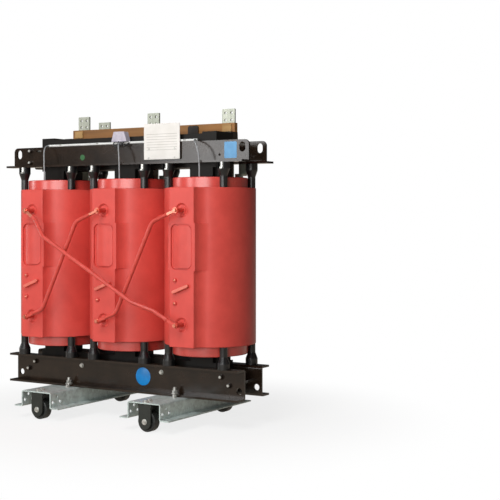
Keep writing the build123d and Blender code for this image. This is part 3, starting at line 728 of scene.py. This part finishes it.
# %% Flange bolts and bracket bolts
FLANGE_TOP, SKID_TOP = 152.0, 142.0
FLANGE_BOLT_OUT, BRACKET_BOLTS_OUT = 115.0, (318.0, 349.0)
SPARE_BOLT_ASIDE, SPARE_BOLT_OUT = 36.0, 168.0
bm = bmesh.new()
for x in SKIDS:
    for sy in SIDES:
        nut(bm, (x, sy * FLANGE_BOLT_OUT, FLANGE_TOP), UP, 24.0, washer=36.0,
            thread=14.0)
        nut(bm, (x + SPARE_BOLT_ASIDE, sy * SPARE_BOLT_OUT, SKID_TOP), UP,
            18.0, washer=28.0)
        for out in BRACKET_BOLTS_OUT:
            nut(bm, (x, sy * out, SKID_TOP), UP, 19.0, washer=30.0, high=9.0)
piece("skid_bolts", bm, zinc)

# %% [markdown]
# ## Ends of the axles
#
# A washer and a domed cap close each end of a roller's axle on the outside.

# %% Axle caps
ROLLER_OUT, FORK_HALF, AXLE_LEVEL = 326.0, 36.0, 50.0
bm = bmesh.new()
for x in SKIDS:
    for sy in SIDES:
        for side in SIDES:
            face = sy * ROLLER_OUT + side * FORK_HALF
            stack(bm, (x, face, AXLE_LEVEL), (0, side, 0), 28, [
                (14.0, 0.0), (14.0, 1.4), (13.4, 2.0), (10.2, 2.0),
                (10.2, 4.6), (8.6, 5.6), (5.0, 6.0)])
piece("axle_caps", bm, zinc)

# %% [markdown]
# ## Clips of the conduit
#
# Saddle clips hold the conduit to the top edge of the clamp. Each is a half
# ring of thin strip. A lid with a hollow outline is best made of small
# four-sided faces, so both ends of a clip are filled step by step around the
# arc.

# %% Saddle clips
CLIP_OUTER, CLIP_INNER, CLIP_HALF, CLIP_STEPS = 7.6, 6.1, 6.0, 14
CLIPS, CONDUIT_AXIS = (-417.0, -171.0, 375.0), -82.0
arc = [(math.cos(math.pi * i / CLIP_STEPS), math.sin(math.pi * i / CLIP_STEPS))
       for i in range(CLIP_STEPS + 1)]
outer, inner = ([(CONDUIT_AXIS + r * c, CONDUIT_LEVEL + r * s)
                 for c, s in arc] for r in (CLIP_OUTER, CLIP_INNER))
bm = bmesh.new()
for x in CLIPS:
    rows = [[bm.verts.new(Vector((x + side * CLIP_HALF, y, z)) * MM)
             for y, z in outer + inner[::-1]] for side in SIDES]
    count = len(rows[0])
    for i in range(count):
        j = (i + 1) % count
        bm.faces.new((rows[0][i], rows[0][j], rows[1][j], rows[1][i]))
    for row in rows:
        half = count // 2
        for i in range(half - 1):
            bm.faces.new((row[i], row[i + 1], row[count - 2 - i],
                          row[count - 1 - i]))
piece("conduit_clips", bm, zinc)

# %% [markdown]
# ## Cables of the box
#
# Black cables leave the small box and loop down into the conduit. They are
# drawn like the sensor leads, as three splines in one curve.

# %% Cable loops
LOOP_ACROSS = 6.0
loops = bpy.data.curves.new("box_cables", "CURVE")
loops.dimensions = "3D"
loops.bevel_depth = 1.0
loops.bevel_resolution = 4
loops.use_fill_caps = True
for route in (
        ((-44, -104, 1400), (-46, -114, 1388), (-36, -116, 1372),
         (-22, -110, 1376), (-18, -98, 1392)),
        ((10, -104, 1400), (14, -114, 1386), (24, -116, 1374),
         (34, -108, 1380), (40, -92, 1392)),
        ((-16, -106, 1400), (-20, -114, 1384), (-6, -114, 1378),
         (4, -106, 1384), (6, -96, 1394))):
    loop = loops.splines.new("NURBS")
    loop.points.add(len(route) - 1)
    for point, place in zip(loop.points, route):
        point.co = (*(Vector(place) * MM), 1.0)
        point.radius = LOOP_ACROSS / 2 * MM
    loop.order_u = 3
    loop.use_endpoint_u = True
loops.materials.append(black_sheath)
box_cables = bpy.data.objects.new("box_cables", loops)
scene.collection.objects.link(box_cables)
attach(box_cables, "frame")
print(len(loops.splines), "cable loops under the box")

# %% [markdown]
# ## Screws of the plate
#
# Small round-headed screws hold the rating plate to its feet.

# %% Plate screws
SCREW_ASIDE, SCREW_FRONT, SCREW_LEVELS = 78.5, -96.0, (1310.0, 1354.0)
bm = bmesh.new()
for sx in SIDES:
    for z in SCREW_LEVELS:
        stack(bm, (PLATE_X + sx * SCREW_ASIDE, SCREW_FRONT, z), FRONT, 24, [
            (5.0, 0.0), (5.0, 0.8), (4.2, 2.0), (2.4, 2.8), (0.8, 3.0)])
piece("plate_screws", bm, zinc)

# %% [markdown]
# ## Labels
#
# Three plain labels are left blank: a blue disc on the lower clamp, and a
# green spot and a pale blue square with rounded corners on the upper one. All
# are thin films on the face of their clamp.

# %% Labels
LABEL_LEFT, LABEL_RIGHT, LABEL_LOW, LABEL_HIGH = 610.0, 670.0, 1303.0, 1372.0
CORNER_ROUND, CORNER_STEPS, FILM = 5.0, 5, 0.6
bm = bmesh.new()
stack(bm, (121.0, -WEB, 217.0), FRONT, 72, [
    (45.0, 0.0), (45.0, 0.5), (44.6, 0.7)])
piece("blank_disc", bm, blue_vinyl)
bm = bmesh.new()
stack(bm, (-270.0, -WEB, 1325.0), FRONT, 48, [
    (15.0, 0.0), (15.0, 0.5), (14.7, 0.7)])
piece("green_spot", bm, green_vinyl)
bm = bmesh.new()
corners = []
for cx, cz, start in (
        (LABEL_RIGHT, LABEL_HIGH, 0.0), (LABEL_LEFT, LABEL_HIGH, 90.0),
        (LABEL_LEFT, LABEL_LOW, 180.0), (LABEL_RIGHT, LABEL_LOW, 270.0)):
    for i in range(CORNER_STEPS + 1):
        a = math.radians(start + 90.0 * i / CORNER_STEPS)
        corners.append((cx + CORNER_ROUND * math.cos(a),
                        cz + CORNER_ROUND * math.sin(a)))
plate(bm, corners, -WEB, -WEB - FILM)
piece("blank_label", bm, pale_vinyl)

# %% [markdown]
# ## Fixings of the beam
#
# Thin plates of tan board are fixed to the front of the beam at both ends. The
# bolts that hold the bars have their nuts at the back. A dark clip stands on
# the beam to the right of the middle bar.

# %% Beam plates, nuts and clip
BOARD_ASIDE, BOARD_FRONT, BOARD_LEVEL = 478.0, 137.0, 1463.5
BOARD_SIZE, BOARD_EDGE = (54.0, 6.0, 37.0), 1.5
BAR_BACK, BAR_BOLT_LEVEL, BAR_BOLT_ASIDE = 176.0, 1464.0, 15.0
BEAM_CLIP_FRONT, BEAM_CLIP_BACK = 131.0, 140.0
bm = bmesh.new()
for side in SIDES:
    box = bmesh.ops.create_cube(bm, size=1.0, matrix=Matrix.Translation(
        Vector((side * BOARD_ASIDE, BOARD_FRONT, BOARD_LEVEL)) * MM)
        @ Matrix.Diagonal((*(Vector(BOARD_SIZE) * MM), 1.0)))
    rims = {e for v in box["verts"] for e in v.link_edges}
    bmesh.ops.bevel(bm, geom=list(rims), offset=BOARD_EDGE * MM, segments=2,
                    affect="EDGES")
piece("beam_plates", bm, tan_board)
bm = bmesh.new()
for x in WINDINGS:
    for side in SIDES:
        nut(bm, (x + side * BAR_BOLT_ASIDE, BAR_BACK, BAR_BOLT_LEVEL), BACK,
            17.0, washer=26.0, thread=6.0)
piece("beam_bolts", bm, zinc)
bm = bmesh.new()
outline = [(244.0, 1430.0), (306.0, 1430.0), (306.0, 1474.0), (298.0, 1482.0),
           (252.0, 1482.0), (244.0, 1474.0)]
plate(bm, outline, BEAM_CLIP_FRONT, BEAM_CLIP_BACK)
piece("beam_clip", bm, foot_resin)

# %% [markdown]
# ## Floor
#
# The object stands on a pale studio floor. A Light Path node tells what kind
# of ray has met it. Rays from the camera see a floor that keeps a faint shadow
# near the object and fades into plain white further out, so that it meets the
# white background without a line. Mirrored rays see it fade into a warm grey.
# All other rays meet a greyer floor, since a white one would throw light up
# under everything.

# %% Floor
FLOOR_HALF = 60.0
FADE_FROM, FADE_TO, WHITE_NEAR = 0.7, 1.7, 0.8
bm = bmesh.new()
for sx, sy in ((-1, -1), (1, -1), (1, 1), (-1, 1)):
    bm.verts.new((sx * FLOOR_HALF, sy * FLOOR_HALF, 0.0))
bm.faces.new(bm.verts)
floor_mesh = bpy.data.meshes.new("studio_floor")
bm.to_mesh(floor_mesh)
bm.free()
floor = bpy.data.objects.new("studio_floor", floor_mesh)
scene.collection.objects.link(floor)
floor_paint, floor_tree, pale = surface(
    "matt_white_studio_floor", "#F6F5F3", "#F3F2F0", 900.0, 40.0,
    (0.70, 0.80), 0.02)
floor_mesh.materials.append(floor_paint)
ray = add(floor_tree, "ShaderNodeLightPath")
bounce = add(floor_tree, "ShaderNodeMix", {
    0: ray.outputs["Is Camera Ray"], MIX_A: srgb("#A5A19C"),
    MIX_B: pale["tone"].outputs[MIX_OUT]}, data_type="RGBA")
seen_or_mirrored = add(floor_tree, "ShaderNodeMath", {
    0: ray.outputs["Is Camera Ray"], 1: ray.outputs["Is Glossy Ray"]},
    operation="MAXIMUM")
floor_tree.links.new(bounce.outputs[MIX_OUT],
                     pale["skin"].inputs["Base Color"])
away = add(floor_tree, "ShaderNodeVectorMath", {0: pale["place"]},
           operation="LENGTH")
fade = add(floor_tree, "ShaderNodeMapRange", {
    "Value": away.outputs["Value"], "From Min": FADE_FROM,
    "From Max": FADE_TO, "To Min": WHITE_NEAR},
    interpolation_type="SMOOTHSTEP")
fade_seen = add(floor_tree, "ShaderNodeMath", {
    0: fade.outputs["Result"], 1: seen_or_mirrored.outputs["Value"]},
    operation="MULTIPLY")
glow_tone = add(floor_tree, "ShaderNodeMix", {
    0: ray.outputs["Is Camera Ray"], MIX_A: srgb("#C9BDAE"),
    MIX_B: srgb("#FFFFFF")}, data_type="RGBA")
glow = add(floor_tree, "ShaderNodeEmission", {
    "Color": glow_tone.outputs[MIX_OUT], "Strength": 1.0})
faded = add(floor_tree, "ShaderNodeMixShader", {
    0: fade_seen.outputs["Value"], 1: pale["skin"].outputs["BSDF"],
    2: glow.outputs["Emission"]})
floor_tree.links.new(
    faded.outputs["Shader"],
    floor_tree.nodes["Material Output"].inputs["Surface"])
print("floor fades between", FADE_FROM, "and", FADE_TO, "m")

# %% [markdown]
# ## Lamps
#
# Most of the light comes from a wide lamp in front, a little to the right, and
# from a lamp high above it, so the windings grow darker towards their right
# sides. The key lamp is a tall soft box to the left in front. It shows as a
# grey sheen at the right of the dark clamps. A narrow box on the far left puts
# a pale edge on round pieces. A lamp overhead lights the floor, and a little
# warm light comes from the right, so that the shaded sides stay red.

# %% Lamps
for name, place, aim, size, power, colour in (
        ("key_lamp", (-2.7, -5.4, 1.7), (0.0, 0.0, 1.0), (1.4, 2.4), 66.0,
         "#FFFFFF"),
        ("left_lamp", (-5.6, -1.2, 1.6), (0.0, 0.0, 1.0), (0.8, 3.0), 50.0,
         "#FFFFFF"),
        ("high_lamp", (1.05, -4.4, 5.4), (0.0, 0.0, 0.8), (3.0, 3.0), 215.0,
         "#FFFFFF"),
        ("front_lamp", (1.5, -6.2, 1.7), (0.0, 0.0, 1.1), (4.5, 2.0), 180.0,
         "#FFFDFB"),
        ("top_lamp", (0.2, -0.6, 5.4), (0.0, 0.0, 0.0), (5.0, 4.0), 40.0,
         "#FFFFFF"),
        ("warm_lamp", (4.5, 0.6, 2.0), (0.0, 0.0, 0.8), (2.0, 2.0), 4.0,
         "#FFD2A8")):
    lamp = bpy.data.lights.new(name, "AREA")
    lamp.shape = "RECTANGLE"
    lamp.size, lamp.size_y = size
    lamp.energy = power
    lamp.color = srgb(colour)[:3]
    stand = bpy.data.objects.new(name, lamp)
    stand.location = place
    stand.rotation_euler = (Vector(aim) - Vector(place)).to_track_quat(
        "-Z", "Y").to_euler()
    scene.collection.objects.link(stand)
    print(name, "at", place, "gives", power, "W")

# %% [markdown]
# ## Background
#
# The background is plain white where the camera sees it. For all other rays it
# is a dim room, which keeps the shadows from going black.

# %% Background
ROOM_LIGHT = 0.05
world = bpy.data.worlds.new("white_studio")
scene.world = world
world.use_nodes = True
sky = world.node_tree
sky.nodes.clear()
path = add(sky, "ShaderNodeLightPath")
seen = add(sky, "ShaderNodeBackground", {"Color": srgb("#FFFFFF"),
                                         "Strength": 1.0})
room = add(sky, "ShaderNodeBackground", {"Color": srgb("#EDEFF2"),
                                         "Strength": ROOM_LIGHT})
both = add(sky, "ShaderNodeMixShader", {
    0: path.outputs["Is Camera Ray"], 1: room.outputs["Background"],
    2: seen.outputs["Background"]})
add(sky, "ShaderNodeOutputWorld", {"Surface": both.outputs["Shader"]})
scene.view_settings.view_transform = "Standard"
print("room light for other rays:", ROOM_LIGHT)
